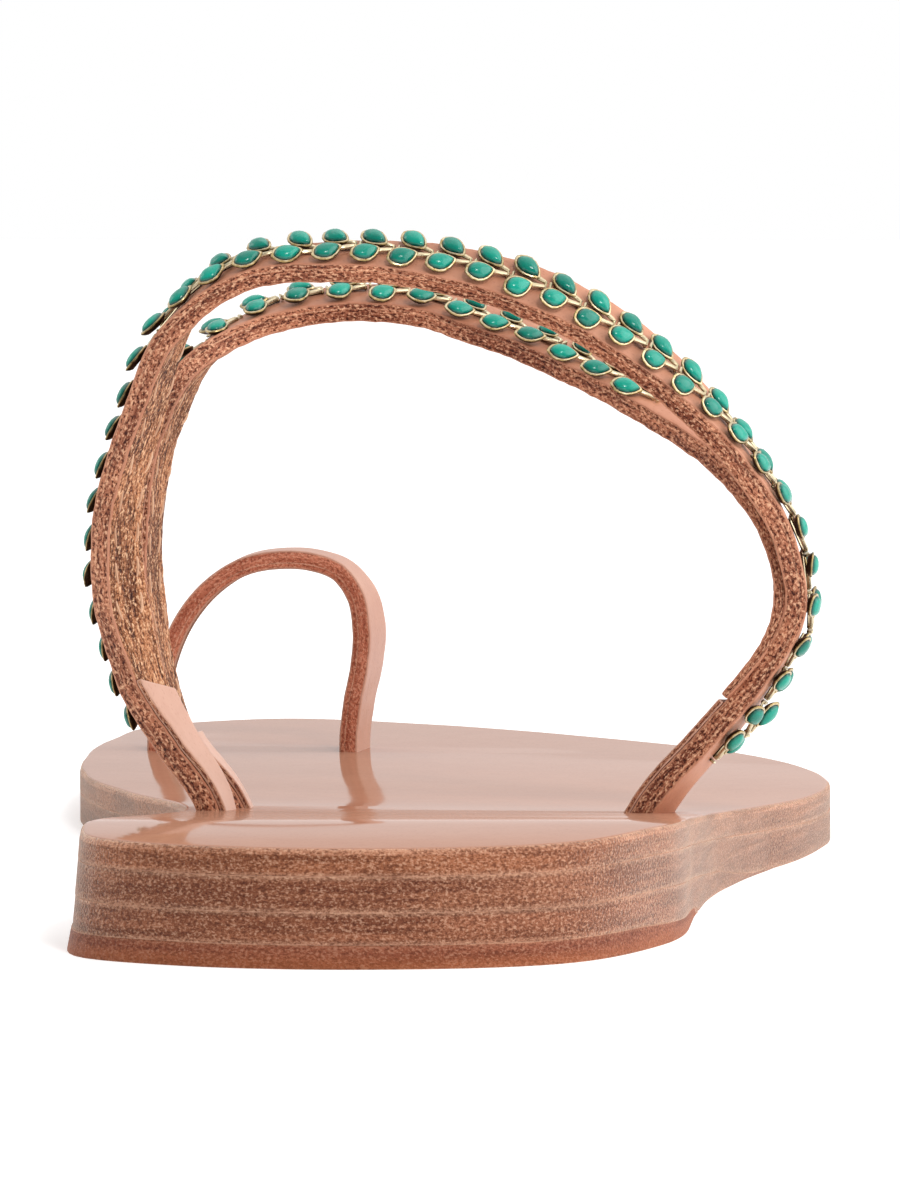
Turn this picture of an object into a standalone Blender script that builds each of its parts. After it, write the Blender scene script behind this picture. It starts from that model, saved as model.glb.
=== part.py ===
"""Flat leather sandal for the right foot: a layered leather sole, two instep straps that meet at
their ends, a toe ring, plain anchor tabs inside the strap ends and a leaf chain on each strap.

Tables are in millimetres. x runs to the outer (little toe) side, y from the heel to the toe and
z up from the floor. The model is made in metres.
"""

import math

import bmesh
import bpy
import numpy as np
from mathutils import Matrix, Vector

MM = 0.001
GAP = 0.3  # clearance between pieces that touch

# Sole layers
INSOLE = 2.8
OUTSOLE = 3.6
HEEL_LIFT = 2.4
LIFT_FRONT_EDGE = 0.6  # the lift is skived down to this at its front
LIFT_LENGTH = 60.0
LIFT_STEP = 0.1  # run of the wedge's step down in front of the lift
WEDGE_LENGTH = 110.0
OUTSOLE_SKIVE = 8.0  # run in which the outsole comes down to the floor before the wedge
TOE_SPRING_START = 210.0
EDGE_ROUND = 0.6  # burnished top edge of the insole
SOLE_STATION = 12.0  # spacing of the cuts that let the sole follow its side profile
OUTLINE_POINTS = 120

# Straps
STRAP_WIDTH = 6.8
STRAP_THICK = 2.4
RING_WIDTH = 8.0
RING_THICK = 2.3
TAB_WIDTH = 6.4
TAB_THICK = 0.7
STRAP_STEPS = 64
RING_STEPS = 40
TAB_STEPS = 12
SLOT_SIDE = 0.5  # play around a strap in its slot
SLOT_HEIGHT = 9.0

# Leaf chain
LEAF_PITCH = 4.2
LEAF_LENGTH = 3.7
LEAF_WIDTH = 2.4
LEAF_HEIGHT = 1.2
LEAF_SPLAY = 25.0  # degrees from the line of the chain
LEAF_OFFSET = 1.65  # from the line of the chain to a leaf's middle
LEAF_SIDES = 6
STEM_WIDTH = 1.8
STEM_THICK = 0.9
STEM_STEPS = 48

# Outline of the sole, seen from above: x, y
OUTLINE = (
    (0.0, 0.0),
    (20.5, 6.6),
    (30.4, 27.0),
    (32.6, 58.0),
    (34.4, 83.0),
    (38.2, 105.0),
    (43.0, 126.0),
    (45.4, 147.0),
    (43.0, 173.0),
    (33.0, 199.0),
    (14.0, 222.0),
    (-8.0, 240.0),
    (-27.0, 248.0),
    (-41.5, 238.0),
    (-46.6, 214.0),
    (-46.8, 186.0),
    (-42.0, 152.0),
    (-34.6, 128.0),
    (-26.8, 104.0),
    (-24.4, 82.0),
    (-26.2, 54.0),
    (-29.8, 24.0),
    (-27.0, 10.0),
    (-15.0, 2.2),
)

# Side profile of the footbed: distance from the heel, height of its top
FOOTBED = (
    (0.0, 12.0),
    (30.0, 12.0),
    (58.0, 10.3),
    (84.0, 8.6),
    (105.0, 7.5),
    (125.0, 6.8),
    (150.0, 6.4),
    (210.0, 6.4),
    (249.0, 6.7),
)

# Straps, a row for each section: x, y and z of the heel-side edge at mid thickness, then how far
# the toe-side edge lies to the outer side of it (across) and above it (rise)
REAR_STRAP = (
    # x, y, z, across, rise
    (-20.6, 80.0, 6.9, 0.3, 0.0),
    (-21.8, 80.0, 10.0, 0.7, 0.2),
    (-25.6, 79.6, 15.4, 1.3, 0.6),
    (-29.6, 79.0, 21.6, 2.6, 1.0),
    (-32.3, 77.8, 30.0, 3.4, 1.6),
    (-32.6, 76.0, 38.8, 3.4, 2.2),
    (-29.6, 73.8, 50.4, 3.2, 2.5),
    (-24.3, 71.0, 61.0, 2.5, 2.6),
    (-16.3, 69.0, 66.6, 0.5, 2.4),
    (-6.7, 68.0, 67.6, 0.0, 2.9),
    (4.7, 68.0, 66.4, 0.5, 3.8),
    (16.6, 69.0, 62.4, 1.0, 4.2),
    (28.2, 71.0, 55.2, 1.2, 2.8),
    (37.0, 73.0, 46.4, 0.5, 0.7),
    (42.0, 75.2, 38.0, -0.6, 0.1),
    (42.8, 77.0, 31.0, -0.5, 0.0),
    (39.8, 78.2, 25.0, 0.7, 0.0),
    (33.4, 79.0, 17.4, 0.9, -0.1),
    (27.6, 79.0, 10.6, 0.8, 0.0),
    (25.6, 79.0, 7.2, 0.8, 0.0),
)
FRONT_STRAP = (
    # x, y, z, across, rise
    (-18.6, 91.0, 6.0, -0.5, 0.0),
    (-20.2, 91.0, 9.2, -0.5, 0.0),
    (-25.2, 90.4, 15.2, 0.3, 0.0),
    (-28.4, 89.6, 22.6, 1.1, 0.0),
    (-29.9, 88.6, 31.0, 1.4, 0.2),
    (-29.7, 88.0, 40.0, 1.2, 0.2),
    (-28.2, 89.4, 50.0, 1.7, 0.3),
    (-24.2, 93.0, 57.0, 2.1, 0.4),
    (-17.8, 96.4, 60.8, 1.0, 1.2),
    (-9.6, 98.0, 62.6, 0.2, 2.2),
    (-1.2, 98.0, 62.5, 0.2, 2.3),
    (7.7, 96.6, 60.0, 0.4, 2.6),
    (17.0, 93.6, 56.2, 0.7, 2.7),
    (26.4, 88.4, 51.4, 1.0, 2.5),
    (34.4, 82.4, 46.2, 1.0, 1.7),
    (39.7, 78.4, 39.4, -0.1, 0.3),
    (41.2, 77.2, 32.6, -0.2, 0.0),
    (40.2, 77.8, 28.6, 0.2, 0.0),
    (37.6, 78.3, 24.6, 0.7, 0.0),
    (35.0, 78.7, 21.6, 1.3, -0.1),
)

# Toe ring, over the big toe: x and z of its heel-side edge, from the outer leg to the inner, and
# how far its toe-side edge lies to the outer side
RING_PLACE = 195.5
RING_SECTIONS = (
    # x, z, across
    (-14.9, 4.0, 1.1),
    (-14.9, 8.0, 1.1),
    (-14.4, 12.5, 1.2),
    (-13.5, 17.5, 1.4),
    (-13.3, 21.8, 1.4),
    (-14.2, 26.0, 1.0),
    (-16.3, 28.7, 0.5),
    (-19.6, 29.9, 0.2),
    (-23.2, 30.1, 0.1),
    (-27.4, 29.4, 0.1),
    (-32.0, 26.6, 0.0),
    (-35.4, 22.4, -0.2),
    (-37.4, 17.5, -0.4),
    (-38.4, 12.5, -0.4),
    (-38.7, 8.0, -0.4),
    (-38.7, 4.0, -0.4),
)
TOE_RING = tuple((x, RING_PLACE, z, across, 0.0) for x, z, across in RING_SECTIONS)

# Reach of the pieces that follow a strap, as shares of its length
REAR_CHAIN = (0.070, 0.935)
FRONT_CHAIN = (0.076, 0.680)
INNER_REAR_TAB = (0.0, 0.098)
INNER_FRONT_TAB = (0.0, 0.078)
OUTER_TAB = (0.905, 1.0)

# Colours: linear red, green, blue, then roughness and metallic
TAN_GRAIN = (0.66, 0.40, 0.28, 0.38, 0.0)
RAW_EDGE = (0.40, 0.21, 0.13, 0.75, 0.0)
LIFT_EDGE = (0.33, 0.14, 0.09, 0.75, 0.0)
STRAP_HIDE = (0.47, 0.22, 0.13, 0.6, 0.0)
TAB_GRAIN = (0.60, 0.34, 0.23, 0.45, 0.0)
TURQUOISE = (0.02, 0.38, 0.29, 0.25, 0.0)


def spline(knots, rows, at):
    """Values at the given knots of a smooth curve through rows, with centred slopes."""
    knots, rows, at = (np.asarray(a, float) for a in (knots, rows, at))
    slopes = np.gradient(rows, knots, axis=0)
    i = np.clip(np.searchsorted(knots, at, side="right") - 1, 0, len(knots) - 2)
    span = knots[i + 1] - knots[i]
    t = (at - knots[i]) / span
    if rows.ndim > 1:
        t, span = t[:, None], span[:, None]
    start = (1 + 2 * t) * (1 - t) ** 2 * rows[i] + t * (1 - t) ** 2 * span * slopes[i]
    end = t * t * (3 - 2 * t) * rows[i + 1] + t * t * (t - 1) * span * slopes[i + 1]
    return start + end


def run_length(points):
    """Distance along a row of points, from the first."""
    steps = np.linalg.norm(np.diff(points, axis=0), axis=1)
    return np.concatenate([[0.0], np.cumsum(steps)])


def unit(vectors):
    return vectors / np.linalg.norm(vectors, axis=-1, keepdims=True)


def footbed(y):
    """Height of the top of the footbed."""
    along, height = np.array(FOOTBED).T
    return float(spline(along, height, [y])[0])


def underside(y):
    """Height of the outsole's bottom: over the wedge, down its skive, flat, then the toe."""
    parallel = footbed(y) - INSOLE - OUTSOLE
    if y > TOE_SPRING_START:
        return parallel
    return parallel * min(max((WEDGE_LENGTH + OUTSOLE_SKIVE - y) / OUTSOLE_SKIVE, 0.0), 1.0)


def lift_top(y):
    """Height of the top of the heel lift, full at the back and skived towards its front."""
    flat = LIFT_LENGTH / 3
    share = min(max((y - flat) / (LIFT_LENGTH - flat), 0.0), 1.0)
    return HEEL_LIFT + (LIFT_FRONT_EDGE - HEEL_LIFT) * share


class Strap:
    """A strip of leather laid through the rows of a table."""

    def __init__(self, table, width, thick):
        rows = np.array(table, float)
        self.rows = rows
        self.knots = run_length(rows[:, :3])
        self.length = self.knots[-1]
        self.width = width
        self.thick = thick

    def sections(self, shares):
        """Middle, along, across and outward directions of the strap at shares of its length."""
        at = np.asarray(shares, float) * self.length
        values = spline(self.knots, self.rows, at)
        step = self.length * 1e-3
        ahead = spline(self.knots, self.rows, np.minimum(at + step, self.length))
        behind = spline(self.knots, self.rows, np.maximum(at - step, 0.0))
        along = unit(ahead[:, :3] - behind[:, :3])
        lean = values[:, 3:5]
        forward = np.sqrt(self.width**2 - (lean**2).sum(1))
        reach = np.column_stack([lean[:, 0], forward, lean[:, 1]])
        across = unit(reach - (reach * along).sum(1, keepdims=True) * along)
        outward = np.cross(along, across)
        middle = values[:, :3] + across * self.width / 2
        return middle, along, across, outward


def collection(name):
    made = bpy.data.collections.new(name)
    bpy.context.scene.collection.children.link(made)
    return made


def material(name, look):
    made = bpy.data.materials.new(name)
    made.use_nodes = True
    shader = made.node_tree.nodes["Principled BSDF"]
    shader.inputs["Base Color"].default_value = (*look[:3], 1.0)
    shader.inputs["Roughness"].default_value = look[3]
    shader.inputs["Metallic"].default_value = look[4]
    return made


def add_object(name, mesh, look, where, root):
    obj = bpy.data.objects.new(name, mesh)
    where.objects.link(obj)
    obj.parent = root
    if look is not None:
        mesh.materials.append(look)
    return obj


def add_helper(name, mesh, where, root):
    """A cutter or a form that is joined into a part."""
    obj = add_object(name, mesh, None, where, root)
    obj.hide_render = True
    obj.display_type = "WIRE"
    return obj


def outline_points():
    """The sole's outline as an even run of points, heel to toe by the outer side and back."""
    closed = np.array(OUTLINE + OUTLINE[:3])
    wrapped = np.vstack([np.array(OUTLINE[-2:]), closed])
    knots = run_length(wrapped)
    first, last = knots[2], knots[2 + len(OUTLINE)]
    at = np.linspace(first, last, OUTLINE_POINTS, endpoint=False)
    return spline(knots, wrapped, at)


def flat_sole_mesh(name):
    """The outline as a filled curve one millimetre thick, made a mesh."""
    curve = bpy.data.curves.new(name, "CURVE")
    curve.dimensions = "2D"
    curve.fill_mode = "BOTH"
    curve.extrude = 0.5 * MM
    points = outline_points()
    ring = curve.splines.new("POLY")
    ring.points.add(len(points) - 1)
    for target, (x, y) in zip(ring.points, points):
        target.co = (x * MM, y * MM, 0.0, 1.0)
    ring.use_cyclic_u = True
    holder = bpy.data.objects.new(name, curve)
    bpy.context.scene.collection.objects.link(holder)
    graph = bpy.context.evaluated_depsgraph_get()
    mesh = bpy.data.meshes.new_from_object(holder.evaluated_get(graph))
    bpy.data.objects.remove(holder)
    return mesh


def cut_across(form, y, drop_front=False):
    """Cut a solid across at y, and drop what lies in front if asked."""
    cut = bmesh.ops.bisect_plane(
        form,
        geom=form.verts[:] + form.edges[:] + form.faces[:],
        plane_co=(0.0, y * MM, 0.0),
        plane_no=(0.0, 1.0, 0.0),
        clear_outer=drop_front,
    )
    if drop_front:
        rim = [e for e in cut["geom_cut"] if isinstance(e, bmesh.types.BMEdge)]
        bmesh.ops.edgeloop_fill(form, edges=rim)


def sole_layer(name, low, high, look, where, root, length=None, stops=()):
    """A layer of the sole between two side profiles, from the heel to a length."""
    mesh = flat_sole_mesh(name)
    form = bmesh.new()
    form.from_mesh(mesh)
    bmesh.ops.remove_doubles(form, verts=form.verts[:], dist=1e-6)
    bmesh.ops.dissolve_limit(form, angle_limit=1e-3, verts=form.verts[:], edges=form.edges[:])
    if length is not None:
        cut_across(form, length, drop_front=True)
    end = length or max(y for _, y in OUTLINE)
    stations = list(np.arange(SOLE_STATION / 2, end - 1.0, SOLE_STATION)) + list(stops)
    for y in sorted(stations):
        cut_across(form, y)
    for vert in form.verts:
        y = vert.co.y / MM
        share = vert.co.z / MM + 0.5
        vert.co.z = (low(y) + (high(y) - low(y)) * share) * MM
    bmesh.ops.recalc_face_normals(form, faces=form.faces[:])
    form.to_mesh(mesh)
    form.free()
    return add_object(name, mesh, look, where, root)


def strip_mesh(name, strap, reach, width, height, steps):
    """The middle surface of a strip along a strap, at a height from its mid thickness."""
    form = bmesh.new()
    bmesh.ops.create_grid(form, x_segments=steps, y_segments=2, size=0.5)
    middle, _, across, outward = strap.sections(np.linspace(*reach, steps + 1))
    for vert in form.verts:
        i = round((vert.co.x + 0.5) * steps)
        spot = middle[i] + across[i] * vert.co.y * width + outward[i] * height
        vert.co = Vector(spot) * MM
    bmesh.ops.recalc_face_normals(form, faces=form.faces[:])
    mesh = bpy.data.meshes.new(name)
    form.to_mesh(mesh)
    form.free()
    return mesh


def thicken(obj, thick):
    solid = obj.modifiers.new("Thickness", "SOLIDIFY")
    solid.thickness = thick * MM
    solid.offset = 0.0
    solid.use_even_offset = True


def boolean(obj, other, operation):
    joined = obj.modifiers.new(other.name, "BOOLEAN")
    joined.operation = operation
    joined.object = other


def slot_cutter(name, strap, share, layers, where, root):
    """A block that clears the layers of a strap end where it enters the insole."""
    middle, along, across, outward = (v[0] for v in strap.sections([share]))
    low, high = layers
    form = bmesh.new()
    bmesh.ops.create_cube(form, size=1.0)
    sides = (strap.width + 2 * SLOT_SIDE, high - low + 2 * SLOT_SIDE, SLOT_HEIGHT)
    bmesh.ops.scale(form, vec=Vector(sides) * MM, verts=form.verts[:])
    axes = Matrix((across, outward, along)).transposed()
    if axes.determinant() < 0:
        axes.col[1] = -axes.col[1]
    centre = middle + outward * (low + high) / 2
    place = Matrix.Translation(Vector(centre) * MM) @ axes.to_4x4()
    bmesh.ops.transform(form, matrix=place, verts=form.verts[:])
    mesh = bpy.data.meshes.new(name)
    form.to_mesh(mesh)
    form.free()
    return add_helper(name, mesh, where, root)


def leaves_mesh(name, strap, reach, height):
    """All the leaves of a chain: pairs that splay from its line, each a squashed sphere."""
    form = bmesh.new()
    pairs = int((reach[1] - reach[0]) * strap.length / LEAF_PITCH)
    shares = np.linspace(*reach, pairs)
    middle, along, across, outward = strap.sections(shares)
    for i in range(pairs):
        for side in (-1, 1):
            angle = math.radians(LEAF_SPLAY)
            tip = -along[i] * math.cos(angle) + across[i] * side * math.sin(angle)
            broad = np.cross(outward[i], tip)
            spot = middle[i] + across[i] * side * LEAF_OFFSET + outward[i] * height
            axes = Matrix((tip * LEAF_LENGTH, broad * LEAF_WIDTH, outward[i] * LEAF_HEIGHT))
            place = Matrix.Translation(Vector(spot) * MM) @ (axes.transposed() * MM).to_4x4()
            bmesh.ops.create_uvsphere(
                form, u_segments=LEAF_SIDES, v_segments=3, radius=0.5, matrix=place
            )
    mesh = bpy.data.meshes.new(name)
    form.to_mesh(mesh)
    form.free()
    return mesh


def add_chain(name, strap, reach, look, parts, helpers, root):
    """A sewn leaf chain on the outer face of a strap."""
    height = strap.thick / 2 + GAP + STEM_THICK / 2
    stem = strip_mesh(name, strap, reach, STEM_WIDTH, height, STEM_STEPS)
    chain = add_object(name, stem, look, parts, root)
    thicken(chain, STEM_THICK)
    leaf_height = strap.thick / 2 + GAP + LEAF_HEIGHT / 2
    mesh = leaves_mesh(name + "_leaves", strap, reach, leaf_height)
    boolean(chain, add_helper(name + "_leaves", mesh, helpers, root), "UNION")


def add_tab(name, strap, reach, look, parts, root):
    """A plain strip of leather inside a strap end, that runs into the slot with it."""
    height = -(strap.thick / 2 + GAP + TAB_THICK / 2)
    mesh = strip_mesh(name, strap, reach, TAB_WIDTH, height, TAB_STEPS)
    thicken(add_object(name, mesh, look, parts, root), TAB_THICK)


def add_sole(parts, root, slots):
    grain = material("tan_grain", TAN_GRAIN)
    edge = material("raw_edge", RAW_EDGE)
    lift = material("lift_edge", LIFT_EDGE)
    step = LIFT_LENGTH + GAP

    def wedge_low(y):
        return lift_top(y) + GAP if y < step + LIFT_STEP / 2 else 0.0

    insole = sole_layer(
        "insole", lambda y: footbed(y) - INSOLE, footbed, grain, parts, root
    )
    bevel = insole.modifiers.new("Burnished edge", "BEVEL")
    bevel.width = EDGE_ROUND * MM
    bevel.segments = 2
    bevel.limit_method = "ANGLE"
    bevel.angle_limit = math.radians(60)
    for slot in slots:
        boolean(insole, slot, "DIFFERENCE")
    sole_layer(
        "outsole",
        underside,
        lambda y: footbed(y) - INSOLE - GAP,
        edge,
        parts,
        root,
        stops=(WEDGE_LENGTH, WEDGE_LENGTH + OUTSOLE_SKIVE, TOE_SPRING_START),
    )
    sole_layer(
        "heel_wedge",
        wedge_low,
        lambda y: underside(y) - GAP,
        edge,
        parts,
        root,
        length=WEDGE_LENGTH,
        stops=(step, step + LIFT_STEP),
    )
    sole_layer("heel_lift", lambda y: 0.0, lift_top, lift, parts, root, length=LIFT_LENGTH)


def add_straps(parts, helpers, root):
    """The instep straps joined where they cross, the toe ring, tabs and chains."""
    hide = material("strap_hide", STRAP_HIDE)
    tab = material("tab_grain", TAB_GRAIN)
    enamel = material("turquoise", TURQUOISE)
    rear = Strap(REAR_STRAP, STRAP_WIDTH, STRAP_THICK)
    front = Strap(FRONT_STRAP, STRAP_WIDTH, STRAP_THICK)
    ring = Strap(TOE_RING, RING_WIDTH, RING_THICK)
    whole = (0.0, 1.0)

    mesh = strip_mesh("instep_straps", rear, whole, rear.width, 0.0, STRAP_STEPS)
    straps = add_object("instep_straps", mesh, hide, parts, root)
    thicken(straps, rear.thick)
    mesh = strip_mesh("front_strap", front, whole, front.width, 0.0, STRAP_STEPS)
    front_form = add_helper("front_strap", mesh, helpers, root)
    thicken(front_form, front.thick)
    boolean(straps, front_form, "UNION")
    mesh = strip_mesh("toe_ring", ring, whole, ring.width, 0.0, RING_STEPS)
    thicken(add_object("toe_ring", mesh, hide, parts, root), ring.thick)

    add_tab("anchor_tab_inner_rear", rear, INNER_REAR_TAB, tab, parts, root)
    add_tab("anchor_tab_inner_front", front, INNER_FRONT_TAB, tab, parts, root)
    add_tab("anchor_tab_outer", rear, OUTER_TAB, tab, parts, root)
    add_chain("leaf_chain_rear", rear, REAR_CHAIN, enamel, parts, helpers, root)
    add_chain("leaf_chain_front", front, FRONT_CHAIN, enamel, parts, helpers, root)

    doubled = (-STRAP_THICK / 2 - GAP - TAB_THICK, STRAP_THICK / 2)
    single = (-RING_THICK / 2, RING_THICK / 2)
    ends = (
        (rear, 0.0, doubled),
        (front, 0.0, doubled),
        (rear, 1.0, doubled),
        (ring, 0.0, single),
        (ring, 1.0, single),
    )
    return [
        slot_cutter(f"slot_{i + 1}", strap, share, layers, helpers, root)
        for i, (strap, share, layers) in enumerate(ends)
    ]


def stand_on_origin(root, parts):
    """Move the model so that the middle of its box stands on the origin."""
    bpy.context.view_layer.update()
    graph = bpy.context.evaluated_depsgraph_get()
    corners = []
    for obj in parts.objects:
        if obj.type == "MESH":
            solid = obj.evaluated_get(graph)
            corners += [solid.matrix_world @ Vector(c) for c in solid.bound_box]
    low = Vector(map(min, zip(*corners)))
    high = Vector(map(max, zip(*corners)))
    root.location = (-(low.x + high.x) / 2, -(low.y + high.y) / 2, -low.z)


def main():
    for obj in list(bpy.data.objects):
        bpy.data.objects.remove(obj)
    parts = collection("flat_sandal")
    helpers = collection("cutters_and_forms")
    root = bpy.data.objects.new("sandal", None)
    parts.objects.link(root)
    slots = add_straps(parts, helpers, root)
    add_sole(parts, root, slots)
    for obj in parts.objects:
        if obj.type == "MESH":
            obj.data.shade_smooth()
            obj.data.set_sharp_from_angle(angle=math.radians(40))
    stand_on_origin(root, parts)


main()
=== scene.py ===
import math

import bpy
import numpy as np
from mathutils import Euler, Matrix, Vector


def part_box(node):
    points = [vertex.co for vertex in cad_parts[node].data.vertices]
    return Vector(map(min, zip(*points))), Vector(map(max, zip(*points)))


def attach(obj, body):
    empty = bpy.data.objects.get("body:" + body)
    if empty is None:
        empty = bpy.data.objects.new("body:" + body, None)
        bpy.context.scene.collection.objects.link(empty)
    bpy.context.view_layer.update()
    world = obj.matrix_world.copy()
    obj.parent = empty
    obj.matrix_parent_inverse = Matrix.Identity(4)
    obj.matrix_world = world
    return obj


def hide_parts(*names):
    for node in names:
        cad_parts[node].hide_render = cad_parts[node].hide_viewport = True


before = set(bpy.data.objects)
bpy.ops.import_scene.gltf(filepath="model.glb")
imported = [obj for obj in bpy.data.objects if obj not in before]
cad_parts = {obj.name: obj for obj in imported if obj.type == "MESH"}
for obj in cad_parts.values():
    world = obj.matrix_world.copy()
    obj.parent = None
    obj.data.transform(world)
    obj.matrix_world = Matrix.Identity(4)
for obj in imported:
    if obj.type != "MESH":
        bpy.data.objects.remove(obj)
bpy.ops.object.select_all(action="DESELECT")
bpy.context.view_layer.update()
mm = 0.001
tiny = 1e-6  # metres within which two heights are the same

# The tables are in millimetres from the back of the heel: x to the little toe, y to the toe, z up
soleOutline = (
    (0, 0), (20.5, 6.6), (30.4, 27), (32.6, 58), (34.4, 83), (38.2, 105), (43, 126), (45.4, 147),
    (43, 173), (33, 199), (14, 222), (-8, 240), (-27, 248), (-41.5, 238), (-46.6, 214), (-46.8, 186),
    (-42, 152), (-34.6, 128), (-26.8, 104), (-24.4, 82), (-26.2, 54), (-29.8, 24), (-27, 10), (-15, 2.2),
)
footbedProfile = (  # distance from the heel, height of the footbed
    (0, 12), (30, 12), (58, 10.3), (84, 8.6), (105, 7.5), (125, 6.8), (150, 6.4), (210, 6.4), (249, 6.7),
)
# Straps: x, y, z of the edge nearest the heel, then how far the other edge lies sideways and above it
rearRows = (
    (-20.6, 80, 6.9, 0.3, 0), (-21.8, 80, 10, 0.7, 0.2), (-25.6, 79.6, 15.4, 1.3, 0.6),
    (-29.6, 79, 21.6, 2.6, 1), (-32.3, 77.8, 30, 3.4, 1.6), (-32.6, 76, 38.8, 3.4, 2.2),
    (-29.6, 73.8, 50.4, 3.2, 2.5), (-24.3, 71, 61, 2.5, 2.6), (-16.3, 69, 66.6, 0.5, 2.4),
    (-6.7, 68, 67.6, 0, 2.9), (4.7, 68, 66.4, 0.5, 3.8), (16.6, 69, 62.4, 1, 4.2),
    (28.2, 71, 55.2, 1.2, 2.8), (37, 73, 46.4, 0.5, 0.7), (42, 75.2, 38, -0.6, 0.1),
    (42.8, 77, 31, -0.5, 0), (39.8, 78.2, 25, 0.7, 0), (33.4, 79, 17.4, 1.6, -0.2),
    (27.3, 79, 10.6, 2.1, -0.2), (25.1, 79, 7.2, 2.2, 0),
)
frontRows = (
    (-18.6, 91, 6, -0.5, 0), (-20.2, 91, 9.2, -0.5, 0), (-25.2, 90.4, 15.2, 0.3, 0),
    (-28.4, 89.6, 22.6, 1.1, 0), (-29.9, 88.6, 31, 1.4, 0.2), (-29.7, 88, 40, 1.2, 0.2),
    (-28.2, 89.4, 50, 1.7, 0.3), (-24.2, 93, 57, 2.1, 0.4), (-17.8, 96.4, 60.8, 1, 1.2),
    (-9.6, 98, 62.6, 0.2, 2.2), (-1.2, 98, 62.5, 0.2, 2.3), (7.7, 96.6, 60, 0.4, 2.6),
    (17, 93.6, 56.2, 0.7, 2.7), (26.4, 88.4, 51.4, 1, 2.5), (34.4, 82.4, 46.2, 1, 1.7),
    (39.7, 78.4, 39.4, -0.1, 0.3), (41.2, 77.2, 32.6, -0.2, 0), (40.2, 77.8, 28.6, 0.2, 0),
    (37.6, 78.3, 24.6, 0.7, 0), (35, 78.7, 21.6, 1.3, -0.1),
)
ringPlace = 195.5
ringArch = (  # x, z of the toe ring from its outer to its inner leg, and how far its front lies sideways
    (-14.9, 4, 1.1), (-14.9, 8, 1.1), (-14.4, 12.5, 1.2), (-13.5, 17.5, 1.4), (-13.3, 21.8, 1.4),
    (-14.2, 26, 1.0), (-16.3, 28.7, 0.5), (-19.6, 29.9, 0.2), (-23.2, 30.1, 0.1), (-27.4, 29.4, 0.1),
    (-32, 26.6, 0), (-35.4, 22.4, -0.2), (-37.4, 17.5, -0.4), (-38.4, 12.5, -0.4), (-38.7, 8, -0.4),
    (-38.7, 4, -0.4),
)
ringRows = tuple((x, ringPlace, z, across, 0) for x, z, across in ringArch)


# Curves
def smoothCurve(knots, rows, at):
    knots, rows, at = (np.asarray(a, float) for a in (knots, rows, at))
    slopes = np.gradient(rows, knots, axis=0)
    i = np.clip(np.searchsorted(knots, at, side="right") - 1, 0, len(knots) - 2)
    span = knots[i + 1] - knots[i]
    t = (at - knots[i]) / span
    if rows.ndim > 1:
        t = t[:, None]
        span = span[:, None]
    start = (1 + 2 * t) * (1 - t) ** 2 * rows[i] + t * (1 - t) ** 2 * span * slopes[i]
    end = t * t * (3 - 2 * t) * rows[i + 1] + t * t * (t - 1) * span * slopes[i + 1]
    return start + end


def runLength(points):
    steps = np.linalg.norm(np.diff(points, axis=0), axis=1)
    return np.concatenate([[0.0], np.cumsum(steps)])


def unitRows(vectors):
    return vectors / np.linalg.norm(vectors, axis=-1, keepdims=True)


def outlinePoints(count):
    closed = np.array(soleOutline[-2:] + soleOutline + soleOutline[:3], float)
    knots = runLength(closed)
    at = np.linspace(knots[2], knots[2 + len(soleOutline)], count, endpoint=False)
    return smoothCurve(knots, closed, at)


def footbedAt(y):
    along, height = np.array(footbedProfile, float).T
    return smoothCurve(along, height, np.atleast_1d(y))


def bell(x, middle, width):  # a soft bump, one high and about twice the width across
    return np.exp(-(((x - middle) / width) ** 2))


def waves(table, first, second):  # rows of height, rate, and what the second value adds
    return sum(height * np.sin(rate * first + lead * second) for height, rate, lead in table)


# Tables to the part's frame: the corner of the outline is the corner of the outsole's box
cadOutlinePoints = 120
outsoleLow = np.array(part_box("outsole")[0])
heelOrigin = np.append(outsoleLow[:2] - outlinePoints(cadOutlinePoints).min(0) * mm, 0.0)


class Strip:  # a strip of leather laid through the rows of a table
    def __init__(self, rows, width, thick, creases=(), cup=0.0):
        self.rows = np.array(rows, float)
        self.knots = runLength(self.rows[:, :3])
        self.length = self.knots[-1]
        self.width = width
        self.thick = thick
        self.creases = creases
        self.cup = cup

    def sections(self, shares):
        at = np.asarray(shares, float) * self.length
        values = smoothCurve(self.knots, self.rows, at)
        step = self.length * 1e-3
        ahead = smoothCurve(self.knots, self.rows, np.minimum(at + step, self.length))
        behind = smoothCurve(self.knots, self.rows, np.maximum(at - step, 0.0))
        along = unitRows(ahead[:, :3] - behind[:, :3])
        lean = values[:, 3:5]
        forward = np.sqrt(self.width**2 - (lean**2).sum(1))
        reach = np.column_stack([lean[:, 0], forward, lean[:, 1]])
        across = unitRows(reach - (reach * along).sum(1, keepdims=True) * along)
        outward = np.cross(along, across)
        return values[:, :3] + across * self.width / 2, along, across, outward

    def lift(self, shares, sideways):  # of the worn surface over the smooth one
        side = 2 * sideways / self.width
        lift = self.cup * (0.5 - side**2)
        for share, depth, half, slant in self.creases:
            lift = lift - depth * bell(shares, share + slant * side, half)
        return lift

    def spots(self, shares, sideways, height):
        middle, _, across, outward = self.sections(shares)
        out = height + self.lift(shares, sideways)
        return middle + across * sideways[:, None] + outward * out[:, None]


# Handling of meshes
def deselectAll():
    if bpy.context.object and bpy.context.object.mode != "OBJECT":
        bpy.ops.object.mode_set(mode="OBJECT")
    bpy.ops.object.select_all(action="DESELECT")


def getPoints(piece):
    points = np.zeros(len(piece.data.vertices) * 3)
    piece.data.vertices.foreach_get("co", points)
    return points.reshape(-1, 3)


def setPoints(piece, points):
    piece.data.vertices.foreach_set("co", np.asarray(points, float).ravel())
    piece.data.update()


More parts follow.
